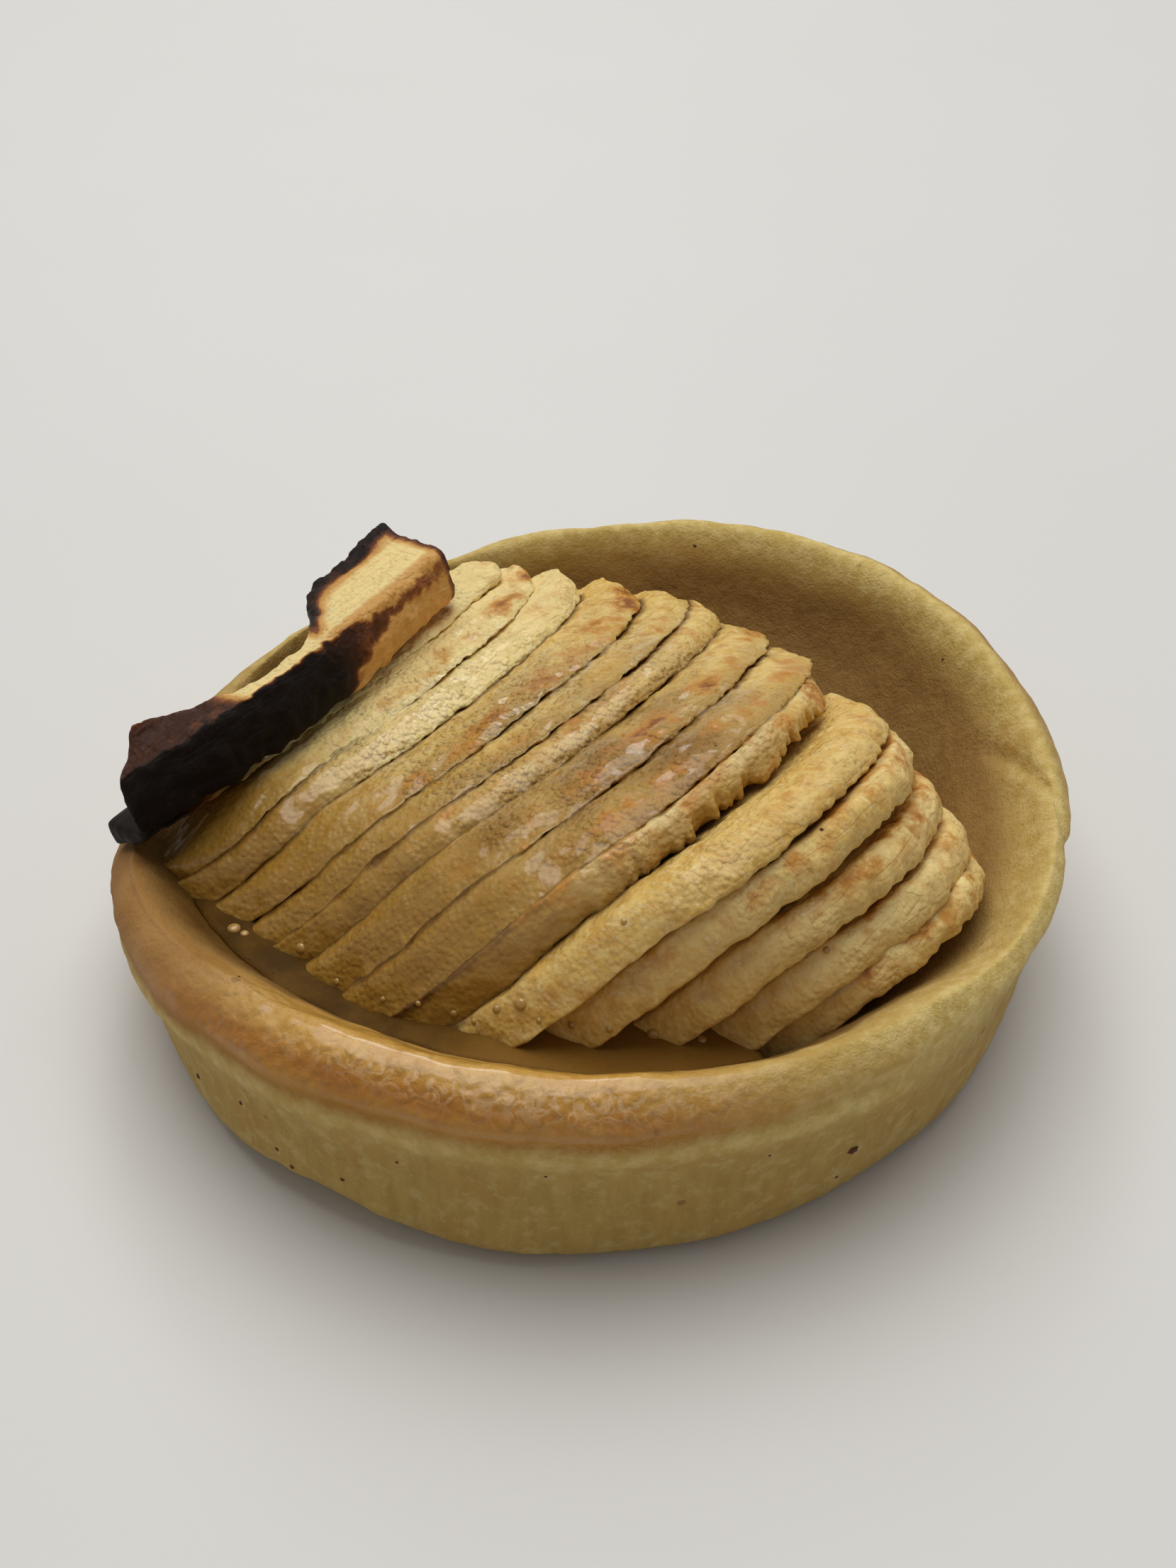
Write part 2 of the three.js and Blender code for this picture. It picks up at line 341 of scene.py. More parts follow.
def pastry_material():
    material, tree, shader = new_material("baked_shortcrust")
    flat = object_coordinates(tree)
    upright = object_coordinates(tree, stretch=(1.0, 1.0, 6.0))
    patches = noise_at(tree, flat, 9 * MM, detail=4.0)
    mottle = noise_at(tree, flat, 1.9 * MM, detail=5.0, roughness=0.7)
    streaks = noise_at(tree, upright, 1.3 * MM, detail=4.0, roughness=0.6)

    wall = mix(tree, ramp(tree, streaks, 0.3, 0.7), colour(176, 144, 76), colour(190, 158, 88))
    wall = mix(tree, ramp(tree, patches, 0.45, 0.75, 0.0, 0.7), wall, colour(186, 142, 72))
    wall = mix(tree, ramp(tree, mottle, 0.48, 0.68, 0.0, 0.6), wall, colour(206, 182, 120))
    # Lighter crust: its own light colour, with painted highlight along the crest and the lip's rounded edge,
    # and painted light on the right rim
    pale_and_highlit = mix(tree, ramp(tree, mottle, 0.35, 0.65), colour(206, 178, 98), colour(230, 206, 136))
    surface = mix(tree, mask_of(tree, "pale_and_highlit"), wall, pale_and_highlit)
    blush = mix(tree, ramp(tree, patches, 0.35, 0.65), colour(150, 104, 50), colour(166, 122, 66))
    blush = mix(tree, ramp(tree, mottle, 0.5, 0.7, 0.0, 0.6), blush, colour(158, 100, 52))
    surface = mix(tree, mask_of(tree, "blush"), surface, blush)
    # Painted shade: the inner slope turns darker further below the crest
    shaded_inside = mix(tree, ramp(tree, mottle, 0.3, 0.7), colour(156, 120, 64), colour(142, 106, 54))
    surface = mix(tree, mask_of(tree, "shaded_inside"), surface, shaded_inside)
    golden = mix(tree, ramp(tree, mottle, 0.3, 0.7), colour(198, 144, 54), colour(214, 168, 80))
    surface = mix(tree, mask_of(tree, "golden"), surface, golden)
    # Darker deep down the inner slope at the front and left, into the crease: glaze soak and painted shade
    soaked_and_shaded = mix(tree, ramp(tree, patches, 0.35, 0.65), colour(94, 63, 14), colour(120, 84, 27))
    surface = mix(tree, mask_of(tree, "soaked_and_shaded"), surface, soaked_and_shaded)
    brown_share = maths(tree, "MULTIPLY", mask_of(tree, "browned"), ramp(tree, patches, 0.25, 0.6, 0.6, 1.0))
    surface = mix(tree, brown_share, surface, colour(170, 106, 24))
    # Painted highlight: whitish crinkled glints of the glaze on the front shoulder
    folds = noise_at(tree, flat, 1.5 * MM, detail=2.0, roughness=0.5, distortion=0.8)
    glint_lines = lines_of(tree, folds, width=0.1, strength=0.6)
    painted_glints = maths(tree, "MULTIPLY", mask_of(tree, "painted_glints"), glint_lines)
    surface = mix(tree, painted_glints, surface, colour(226, 190, 146))
    specks = use_group(tree, SPECKS, Vector=flat, Size=2.6 * MM, Share=0.05)["Mask"]
    surface = mix(tree, maths(tree, "MULTIPLY", specks, 0.5), surface, colour(112, 70, 34))
    tree.links.new(surface, shader.inputs["Base Color"])

    wet = mask_of(tree, "wet")
    tree.links.new(ramp(tree, wet, 0.0, 1.0, 0.72, 0.34), shader.inputs["Roughness"])
    tree.links.new(ramp(tree, wet, 0.1, 0.9, 0.0, 0.85), shader.inputs["Coat Weight"])
    shader.inputs["Coat Roughness"].default_value = 0.14
    shader.inputs["Specular IOR Level"].default_value = 0.25
    soft_inside(shader, 0.06, 1.0 * MM)

    grain = use_group(tree, GRAIN, Vector=flat, Size=1.0 * MM)["Height"]
    dry = maths(tree, "MULTIPLY", grain, ramp(tree, wet, 0.0, 1.0, 1.0, 0.4))
    wall_streaks = maths(tree, "MULTIPLY", streaks, 0.25)
    blisters = use_group(tree, BLISTERS, Vector=flat, Size=1.5 * MM)["Height"]
    glaze = maths(tree, "MULTIPLY", blisters, wet)
    bump(tree, shader, maths(tree, "ADD", maths(tree, "ADD", dry, wall_streaks), glaze), 0.4 * MM)
    return material


def apple_material(name, gloss, coat):
    material, tree, shader = new_material(name)
    flat = object_coordinates(tree)
    fibre_run = object_coordinates(tree, turn=FAN_HEADING, stretch=(0.4, 2.4, 2.4))
    band_run = object_coordinates(tree, turn=FAN_HEADING, stretch=(4.0, 1.0, 1.0))
    fibres = noise_at(tree, fibre_run, 1.0 * MM, detail=4.0, roughness=0.65)
    bands = noise_at(tree, band_run, 1.6 * MM, detail=3.0)
    mottle = noise_at(tree, flat, 2.0 * MM, detail=5.0, roughness=0.65)
    flecks = noise_at(tree, flat, 0.7 * MM, detail=3.0, roughness=0.6)
    crease_run = object_coordinates(tree, turn=FAN_HEADING, stretch=(16.0, 1.0, 1.0))
    folds = noise_at(tree, crease_run, 1.6 * MM, detail=1.0, roughness=0.4)
    creases = lines_of(tree, folds, width=0.03, strength=1.0)

    flesh = mix(tree, ramp(tree, bands, 0.3, 0.7), colour(228, 184, 92), colour(244, 210, 126))
    flesh = mix(tree, ramp(tree, mottle, 0.45, 0.68, 0.0, 0.75), flesh, colour(204, 152, 66))
    flesh = mix(tree, ramp(tree, fibres, 0.48, 0.7, 0.0, 0.5), flesh, colour(246, 226, 166))
    flesh = mix(tree, ramp(tree, flecks, 0.58, 0.7, 0.0, 0.6), flesh, colour(250, 230, 170))
    # Darker where the glaze soaks in, with painted shade on the low side of each slice and at its front tip
    surface = mix(tree, mask_of(tree, "soaked_and_shaded"), flesh, colour(160, 116, 38))
    # Painted shade: darker where a slice runs under the one on top of it
    surface = mix(tree, mask_of(tree, "painted_groove_shade"), surface, colour(96, 62, 20))
    # Light flesh, with painted highlight along each slice's top edge and painted light on slices that lie in
    # shade
    surface = mix(tree, mask_of(tree, "cream_and_painted_light"), surface, colour(252, 224, 154))
    # The creases are also painted a little darker, as painted shade in them
    surface = mix(tree, maths(tree, "MULTIPLY", creases, 0.12), surface, colour(176, 124, 56))
    toast = mask_of(tree, "toast")
    patchy = maths(tree, "MULTIPLY", toast, ramp(tree, mottle, 0.3, 0.62, 0.25, 1.1))
    surface = mix(tree, ramp(tree, patchy, 0.05, 0.55, 0.0, 0.9), surface, colour(204, 140, 54))
    surface = mix(tree, ramp(tree, patchy, 0.45, 0.95), surface, colour(150, 88, 30))
    char = mask_of(tree, "char")
    charred = maths(tree, "MULTIPLY", char, ramp(tree, mottle, 0.2, 0.6, 0.75, 1.08))
    surface = mix(tree, ramp(tree, charred, 0.02, 0.26), surface, colour(214, 160, 84))
    surface = mix(tree, ramp(tree, charred, 0.24, 0.44), surface, colour(138, 80, 38))
    surface = mix(tree, ramp(tree, charred, 0.38, 0.62), surface, colour(66, 34, 17))
    surface = mix(tree, ramp(tree, charred, 0.58, 0.85), surface, colour(25, 16, 9))
    specks = use_group(tree, SPECKS, Vector=flat, Size=5.5 * MM, Share=0.03)["Mask"]
    surface = mix(tree, maths(tree, "MULTIPLY", specks, 0.7), surface, colour(104, 58, 26))
    tree.links.new(surface, shader.inputs["Base Color"])

    wet = mask_of(tree, "wet")
    rough = maths(tree, "MAXIMUM", ramp(tree, wet, 0.0, 1.0, 0.55, 0.3), maths(tree, "MULTIPLY", char, 0.8))
    tree.links.new(rough, shader.inputs["Roughness"])
    tree.links.new(ramp(tree, wet, 0.0, 1.0, 0.0, coat), shader.inputs["Coat Weight"])
    shader.inputs["Coat Roughness"].default_value = 0.13
    shader.inputs["Specular IOR Level"].default_value = gloss
    soft_inside(shader, 0.25, 2.0 * MM)

    grain = use_group(tree, GRAIN, Vector=flat, Size=0.8 * MM)["Height"]
    blisters = use_group(tree, BLISTERS, Vector=flat, Size=0.8 * MM)["Height"]
    glaze = maths(tree, "MULTIPLY", blisters, maths(tree, "MULTIPLY", wet, 2.6))
    relief = maths(tree, "ADD", maths(tree, "MULTIPLY", fibres, 0.55), maths(tree, "MULTIPLY", grain, 0.35))
    relief = maths(tree, "ADD", relief, glaze)
    relief = maths(tree, "SUBTRACT", relief, maths(tree, "MULTIPLY", creases, 0.12))
    sunk = ramp(tree, mask_of(tree, "syrup"), 0.0, 0.8, 1.0, 0.18)
    bump(tree, shader, maths(tree, "MULTIPLY", relief, sunk), 0.4 * MM)
    return material


def glaze_material():
    material, tree, shader = new_material("apricot_glaze")
    flat = object_coordinates(tree)
    cloud = noise_at(tree, flat, 4 * MM, detail=4.0)
    # Dark glaze, partly painted shade of the crease it fills
    tint = mix(tree, ramp(tree, cloud, 0.3, 0.7), colour(74, 50, 10), colour(98, 68, 18))
    tint = mix(tree, mask_of(tree, "lighter_band"), tint, colour(132, 94, 36))
    tree.links.new(tint, shader.inputs["Base Color"])
    shader.inputs["Roughness"].default_value = 0.6
    shader.inputs["Specular IOR Level"].default_value = 0.1
    soft_inside(shader, 0.2, 1.5 * MM)
    grain = use_group(tree, GRAIN, Vector=flat, Size=0.9 * MM)["Height"]
    waves = noise_at(tree, flat, 2.2 * MM, detail=3.0)
    bump(tree, shader, maths(tree, "ADD", waves, maths(tree, "MULTIPLY", grain, 0.4)), 0.3 * MM)
    return material


def bubble_material():
    material, tree, shader = new_material("glaze_bubble")
    flat = object_coordinates(tree)
    cloud = noise_at(tree, flat, 0.6 * MM, detail=2.0)
    tint = mix(tree, cloud, colour(176, 132, 62), colour(202, 162, 92))
    tree.links.new(tint, shader.inputs["Base Color"])
    shader.inputs["Roughness"].default_value = 0.1
    shader.inputs["Coat Weight"].default_value = 1.0
    shader.inputs["Coat Roughness"].default_value = 0.03
    soft_inside(shader, 0.5, 1.0 * MM)
    return material


def crumb_material():
    material, tree, shader = new_material("burnt_crumb")
    flat = object_coordinates(tree)
    cloud = noise_at(tree, flat, 0.4 * MM, detail=3.0)
    tint = mix(tree, cloud, colour(52, 26, 14), colour(112, 62, 32))
    tree.links.new(tint, shader.inputs["Base Color"])
    shader.inputs["Roughness"].default_value = 0.7
    bump(tree, shader, cloud, 0.08 * MM)
    return material


def floor_material():
    material, tree, shader = new_material("pale_table")
    flat = object_coordinates(tree)
    cloud = noise_at(tree, flat, 60 * MM, detail=2.0)
    tint = mix(tree, cloud, colour(226, 225, 222), colour(229, 228, 226))
    tree.links.new(tint, shader.inputs["Base Color"])
    shader.inputs["Roughness"].default_value = 0.55
    return material


# Shortcrust case

CREST_STEP = 3
# Parts of the rim, each by the heading of its middle and its spread to both sides, in degrees
GLAZED_FRONT = (-109, 33)
GOLDEN_FRONT = (-104, 27)
GLINTS_FRONT = (-97, 26)
BLUSHED_LEFT = (200, 38)
PALE_AND_LIT_RIGHT = (-28, 42)
BLUSHED_BACK = (62, 62)
GENTLE_FRONT_LEFT = (-142, 52)
RIM_FOLD = (-9, 2.6)
# How far the fold's heading turns over 10 mm outward
FOLD_TURN = 40
FOLD_DEPTH = 0.6 * MM
LIP_FILL = 0.9 * MM
RIM_WAVE = 0.55 * MM
SLOPE_SOFTNESS = 0.7 * MM


def rim_place(points):
    """Heading of each point, and how far it is outside the rim's crest and below it."""
    heading = np.degrees(np.arctan2(points[:, 1], points[:, 0]))
    radius = np.hypot(points[:, 0], points[:, 1])
    height = points[:, 2]
    steps = np.arange(-180, 181, CREST_STEP)
    crest_radius = []
    crest_height = []
    for step in steps:
        near = np.abs((heading - step + 180) % 360 - 180) < CREST_STEP + 1
        top = near & (height > height[near].max() - 0.4 * MM)
        crest_radius.append(radius[top].mean())
        crest_height.append(height[near].max())
    outside = radius - np.interp(heading, steps, crest_radius)
    below = np.interp(heading, steps, crest_height) - height
    return heading, outside, below


def shortcrust_case(material):
    piece = rounded_copy("pastry_case", "shortcrust_case", levels=2, firm_angle=60, firmness=0.4)
    mesh = piece.data
    points = positions(mesh)
    outward = normals(mesh)
    heading, outside, below = rim_place(points)
    ring = np.stack([np.cos(np.radians(heading)), np.sin(np.radians(heading)), 0 * heading], axis=1)
    facing_out = np.sum(outward * ring, axis=1)
    inner_side = smoothstep(0.45, 0.15, facing_out) * smoothstep(-0.6, -0.3, outward[:, 2])
    on_top = smoothstep(7 * MM, 3.2 * MM, below)
    slope = smoothstep(0.4 * MM, -1.2 * MM, outside) * inner_side
    wall = (1 - on_top) * (1 - slope)

    # The rim slopes more gently towards the glaze at the front left
    inward = np.maximum(smoothstep(0.6 * MM, -1.6 * MM, outside), smoothstep(-0.05, -0.5, facing_out))
    gentle = np.clip(1.3 * bell_at_heading(heading, *GENTLE_FRONT_LEFT), 0, 1) * inward * inner_side
    spread = np.maximum(-outside, 0.55 * below) / MM
    fall = (0.35 * spread + 0.1 * spread ** 2) * MM
    points[:, 2] += gentle * above_zero(below - fall, SLOPE_SOFTNESS)
    points -= ring * (gentle * above_zero(spread * MM + outside, SLOPE_SOFTNESS))[:, None]

    # Dents of the hands, crumbly grain, upright ripples, a fold at the right and a fuller lip
    under_lip = bell(below, 6.4 * MM, 2.4 * MM) * smoothstep(-1 * MM, 1.5 * MM, outside) * (1 - inner_side)
    above_base = smoothstep(0.2 * MM, 2.5 * MM, points[:, 2])
    hand = lumps(points, 12 * MM, seed=1) * (0.3 + 0.25 * on_top) * MM
    crumb = lumps(points, 2.6 * MM, seed=2, detail=3) * 0.12 * MM
    ripples = lumps(points * [1, 1, 0.15], 2.4 * MM, seed=9, detail=3) * 0.1 * MM * wall
    fold = -FOLD_DEPTH * bell_at_heading(heading + FOLD_TURN * (outside / (10 * MM)), *RIM_FOLD) * on_top
    shift = (hand + crumb + ripples + fold + LIP_FILL * under_lip) * above_base
    wave = lumps(ring * 45 * MM, 15 * MM, seed=10) * RIM_WAVE * on_top
    points = points + outward * shift[:, None] + np.outer(wave, UP)
    set_positions(mesh, points)

    paint_case(mesh, heading, outside, below, on_top, slope)
    mesh.materials.append(material)
    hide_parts("pastry_case")
    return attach(piece, "root")


def paint_case(mesh, heading, outside, below, on_top, slope):
    """Masks for how the oven and the glaze coloured the crust, and for painted highlight, painted light and
    painted shade on it.
    """
    front = np.clip(1.5 * bell_at_heading(heading, *GLAZED_FRONT), 0, 1)
    glazed = np.clip(1.5 * bell_at_heading(heading, *GOLDEN_FRONT), 0, 1)
    left = np.clip(1.3 * bell_at_heading(heading, *BLUSHED_LEFT), 0, 1)
    right = np.clip(1.4 * bell_at_heading(heading, *PALE_AND_LIT_RIGHT), 0, 1)
    back = bell_at_heading(heading, *BLUSHED_BACK)
    shoulder = smoothstep(0.2 * MM, 1.6 * MM, outside) * on_top
    # Painted highlight along the crest and along the lip's rounded edge
    edge = bell(outside, 0.0, 2.6 * MM) * smoothstep(4 * MM, 1.0 * MM, below)
    lip_highlight = bell(below, 5.4 * MM, 1.4 * MM) * smoothstep(0.5 * MM, 2 * MM, outside)
    # Painted highlight: a band on the shoulder for the crinkled glaze glints
    glint_line = bell(outside, 1.7 * MM, 1.1 * MM) * on_top

    pale_and_highlit = np.maximum(edge * (0.5 + 0.5 * back), 0.95 * right * on_top * (1 - 0.6 * slope))
    set_mask(mesh, "pale_and_highlit", np.maximum(pale_and_highlit, lip_highlight))
    set_mask(mesh, "blush", np.maximum(shoulder * back, 0.95 * left * on_top))
    # Painted shade of the hollow: darker further down the inner slope
    set_mask(mesh, "shaded_inside", slope * smoothstep(1.6 * MM, 6 * MM, below) * (1 - 0.05 * right))
    set_mask(mesh, "golden", glazed * np.maximum(on_top, slope) * smoothstep(5 * MM, 3.4 * MM, below))
    # Glaze soak and painted shade of the crease: darker further down the slope at the front and left
    set_mask(mesh, "soaked_and_shaded", np.maximum(front, left) * slope * smoothstep(2.0 * MM, 9 * MM, below))
    set_mask(mesh, "browned", front * bell(outside, 2.9 * MM, 1.2 * MM) * on_top)
    set_mask(mesh, "painted_glints", bell_at_heading(heading, *GLINTS_FRONT) * glint_line)
    set_mask(mesh, "wet", front * smoothstep(4.2 * MM, 2.6 * MM, below))


# Apple slices

BURNT_SLICE = "a1"
# The slice under the burnt one, with its front tip on the rim
RIM_SLICE = "a2"
TORN_SLICE = "c3"
# How strongly each slice's outer edge is browned by the oven
TOASTED = {
    "a1": 0.0, "a2": 0.35, "a3": 0.5, "a4": 0.2, "b1": 0.9, "b2": 0.35, "b3": 0.35, "c1": 0.95,
    "c2": 0.65, "c3": 0.6, "d1": 0.25, "d2": 0.65, "d3": 0.5, "d4": 0.35, "d5": 1.0,
}
# How much lighter the last slices are painted: painted light where they lie in shade
PAINTED_LIGHT = {"d2": 0.15, "d3": 0.25, "d4": 0.35, "d5": 0.35}
# How much darker each slice is painted all through, and by group on its low side and at its front tip:
# partly glaze soak, partly painted shade; the low side is painted shade
SOAK_AND_SHADE_THROUGH = {"b1": 0.2, "b2": 0.25, "b3": 0.4, "c1": 0.85, "c2": 0.95, "c3": 0.7}
SHADE_ON_LOW_SIDE = {"a": 0.35, "b": 0.75, "c": 0.75, "d": 0.3}
SOAK_AND_SHADE_TIP = {"a": 0.9, "b": 0.9, "c": 0.9, "d": 0.15}

# How much fuller the slices are than their solids, so that they stick together
SLICE_SWELL = 0.22 * MM
FRONT_SWELL = 0.25 * MM
EDGE_DEPTH = 2.4 * MM
EDGE_ROUNDING = 0.4 * MM
FRAYED_EDGE = 0.12 * MM
TORN_EDGE = 0.7 * MM
# The front tips sag into the glaze
TIP_SHARE = 0.26
TIP_DROOP = -1.0 * MM * ALONG - 3.4 * MM * UP
TIP_TAPER = 0.12
RIGHT_GROUP_SAG = 0.85
# Fine wrinkles, and creases that are drawn out along the slice
WRINKLE_HEIGHT = 0.26 * MM
CREASE_HEIGHT = 0.2 * MM
CREASE_STRETCH = 7

# How far out from under the slice on top the painted shade reaches
GROOVE_SHADE_WIDTH = 0.9 * MM

# How burnt the first slice's round edge is, from its front tip to its back tip
BURNT_ALONG = [0.0, 0.5, 0.62, 0.8, 1.0]
BURNT_AMOUNT = [1.0, 0.95, 0.56, 0.44, 0.36]
# How far behind the outer edge the burnt band begins and ends, in mm
BAND_LOW_ALONG = [0.48, 0.6, 0.75, 0.95]
BAND_LOW = [-1.0, 0.9, 1.5, 1.7]
BAND_HIGH_ALONG = [0.6, 0.75, 0.95]
BAND_HIGH = [3.6, 2.4, 2.8]

# The wettest place of the fan and how far its shine reaches
SHINE_X, SHINE_Y = -8 * MM, -4 * MM
SHINE_REACH = 26 * MM


def slice_place(points):
    """Distance along the slice, reach towards its outer edge and level over its lower face."""
    along = points @ ALONG
    flat = np.stack([points @ ACROSS, points @ UP], axis=1)
    middle = flat.mean(axis=0)
    axes = np.linalg.svd(flat - middle, full_matrices=False)[2]
    outward = axes[0] * np.sign(axes[0][0])
    upward = np.array([-outward[1], outward[0]])
    reach = (flat - middle) @ outward
    level = (flat - middle) @ upward
    reach_run = ACROSS * outward[0] + UP * outward[1]
    level_run = ACROSS * upward[0] + UP * upward[1]
    return along, reach, level - level.min(), reach_run, level_run


def outer_edge(along, reach):
    """Depth of each point behind the slice's outer edge."""
    steps = np.linspace(along.min(), along.max(), 61)
    near = 1.2 * (steps[1] - steps[0])
    furthest = np.array([reach[np.abs(along - step) < near].max() for step in steps])
    return np.interp(along, steps, furthest) - reach


def apple_slice(node, number, material):
    label = node.rsplit("_", 1)[1]
    levels = 4 if label == TORN_SLICE else 3
    firmness = 0.2 if label in (BURNT_SLICE, RIM_SLICE) else 0.55
    piece = rounded_copy(node, f"slice_{label}", levels, firm_angle=55, firmness=firmness)
    mesh = piece.data
    points = positions(mesh)
    facing = normals(mesh)
    along, reach, level, reach_run, level_run = slice_place(points)
    depth = outer_edge(along, reach)
    from_front = (along - along.min()) / (along.max() - along.min())
    level_share = level / level.max()
    top_side = smoothstep(0.2, 0.8, level_share)

    # Swollen body with a swaying, nicked or torn edge
    sway = lumps_along(along, 14 * MM, seed=100 + number)
    nick = lumps_along(along, 1.6 * MM, seed=120 + number, detail=3)
    plump = lumps_along(along, 6 * MM, seed=140 + number)
    torn = np.clip(3 * lumps_along(along, 1.2 * MM, seed=160 + number, detail=3), -1, 1)
    ragged = TORN_EDGE if label == TORN_SLICE else FRAYED_EDGE
    lower_edge = bell(depth, 0, 1.4 * MM) * smoothstep(0.7, 0.3, level_share)
    band_round = EDGE_ROUNDING * (1 - (2 * level_share - 1) ** 2)
    waves = sway * 0.6 * MM + plump * 0.45 * MM + nick * 0.25 * MM
    shift_out = bell(depth, 0, EDGE_DEPTH) * (waves + band_round)
    swell = SLICE_SWELL + 0.15 * MM * plump + FRONT_SWELL * smoothstep(0.45, 0.1, from_front)
    shift_up = sway * 0.25 * MM + swell * (2 * top_side - 1) + lower_edge * torn * ragged

    # Sagging tip and wrinkles
    droop = 0 * along if label in (BURNT_SLICE, RIM_SLICE) else smoothstep(TIP_SHARE, 0.0, from_front)
    shift_up -= TIP_TAPER * level * droop ** 2
    wrinkles = lumps(points, 1.8 * MM, seed=8 + number, detail=3) * WRINKLE_HEIGHT
    wrinkles *= smoothstep(-0.2, 0.5, from_front)
    crease_space = np.stack([along / CREASE_STRETCH, reach, level], axis=1)
    wrinkles += lumps(crease_space, 1.7 * MM, seed=50 + number, detail=2) * CREASE_HEIGHT
    points = points + np.outer(shift_out, reach_run) + np.outer(shift_up, level_run)
    sag = RIGHT_GROUP_SAG if label[0] == "d" else 1.0
    points += np.outer(sag * droop ** 1.5, TIP_DROOP)
    points += facing * wrinkles[:, None]

    patch = lumps(points, 7 * MM, seed=30 + number)
    char = np.zeros(len(points))
    if label == BURNT_SLICE:
        top_face = smoothstep(0.45, 0.75, facing @ level_run)
        inner_depth = outer_edge(along, -reach)
        char = burnt_share(points, depth, inner_depth, top_face, from_front, patch)
        burr = lumps(points, 1.6 * MM, seed=60, detail=3) * 0.3 * MM + patch * 0.4 * MM
        points += facing * (burr * np.clip(char, 0, 1))[:, None]
    elif label == RIM_SLICE:
        char = smoothstep(0.24, 0.02, from_front + 0.03 * patch)
    set_positions(mesh, points)

    set_mask(mesh, "char", char)
    scorch = lumps(points, 4 * MM, seed=200 + number, detail=3)
    paint_slice(mesh, label, depth, level_share, from_front, patch, scorch)
    shine = bell(points[:, 0], SHINE_X, SHINE_REACH) * bell(points[:, 1], SHINE_Y, SHINE_REACH)
    wet_slice(mesh, label, shine, level_share, from_front, patch, char)
    mesh.materials.append(material)
    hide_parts(node)
    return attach(piece, "root")


def burnt_share(points, depth, inner_depth, top_face, from_front, patch):
    """How burnt the first slice is: a band on its edge, the front lobe, and the rim of the back horn."""
    inner = inner_depth + 0.8 * MM * patch
    uneven = depth + 0.35 * MM * patch + 0.5 * MM * lumps(points, 1.6 * MM, seed=61, detail=3)
    high = np.interp(from_front, BAND_HIGH_ALONG, BAND_HIGH) * MM
    low = np.interp(from_front, BAND_LOW_ALONG, BAND_LOW) * MM
    outer_face = smoothstep(high + 0.5 * MM, high - 0.3 * MM, uneven)
    outer_face *= smoothstep(low - 0.7 * MM, low + 0.2 * MM, uneven)
    band = np.interp(from_front, BURNT_ALONG, BURNT_AMOUNT) * outer_face
    lobe = (0.8 - 0.2 * top_face) * smoothstep(0.36, 0.26, from_front + 0.04 * patch)
    seam = 0.22 * smoothstep(5.2 * MM, 4.0 * MM, depth) * smoothstep(0.5, 0.6, from_front)
    horn_rim = 0.36 * smoothstep(4.2 * MM, 1.4 * MM, inner) + 0.42 * smoothstep(2.4 * MM, 1.2 * MM, inner)
    horn_rim *= smoothstep(0.54, 0.62, from_front)
    back_end = 0.6 * smoothstep(0.94, 1.0, from_front + 0.02 * patch)
    return np.maximum.reduce([band, lobe, seam, horn_rim, back_end])


def paint_slice(mesh, label, depth, level_share, from_front, patch, scorch):
    """Masks for light-coloured flesh, painted highlight on the top edge and painted light on shaded slices,
    and for what the oven browned.
    """
    top_side = smoothstep(0.2, 0.8, level_share)
    if label == BURNT_SLICE:
        cream_and_painted_light = np.ones(len(depth))
    elif label[0] == "a":
        # Painted light: the first slices, in the shade of the burnt one, are lighter away from the tip
        cream_and_painted_light = smoothstep(0.15, 0.45, from_front)
    else:
        # Painted highlight along the top edge of each slice, and painted light on the last slices
        ridge_highlight = bell(depth, 0.7 * MM, 0.9 * MM) * top_side * smoothstep(0.05, 0.3, from_front)
        cream_and_painted_light = 0.75 * ridge_highlight * np.clip(0.8 + 1.4 * patch, 0, 1) + PAINTED_LIGHT.get(label, 0.0)
    set_mask(mesh, "cream_and_painted_light", cream_and_painted_light)
    crest = bell(depth, 1.6 * MM, 1.9 * MM) * (0.3 + 0.7 * top_side) * smoothstep(0.0, 0.35, from_front)
    set_mask(mesh, "toast", TOASTED[label] * crest * (0.75 + 1.5 * scorch))


def wet_slice(mesh, label, shine, level_share, from_front, patch, char):
    """Masks for the glaze: where it soaks in, with painted shade on the low side, where it stands thick and
    where it shines.
    """
    # Painted shade: the low side of each slice is darker, more so towards its front
    shaded_low_side = smoothstep(0.7, 0.3, level_share) * smoothstep(1.1, 0.5, from_front)
    through = (0.8 + 0.6 * patch) * smoothstep(0.8, 0.45, from_front)
    at_tip = smoothstep(0.42, 0.08, from_front)
    soaked_and_shaded = np.maximum.reduce([
        SOAK_AND_SHADE_TIP[label[0]] * at_tip,
        SHADE_ON_LOW_SIDE[label[0]] * shaded_low_side,
        SOAK_AND_SHADE_THROUGH.get(label, 0.0) * through,
    ])
    syrup = smoothstep(0.36, 0.14, from_front + 0.05 * patch)
    if label == BURNT_SLICE:
        soaked_and_shaded, syrup = 0 * soaked_and_shaded, 0 * syrup
    not_burnt = 1 - 0.8 * np.clip(char, 0, 1)
    set_mask(mesh, "soaked_and_shaded", soaked_and_shaded)
    set_mask(mesh, "syrup", syrup)
    set_mask(mesh, "wet", not_burnt * (0.18 + shine * (0.5 + 0.8 * patch) + 0.7 * syrup))


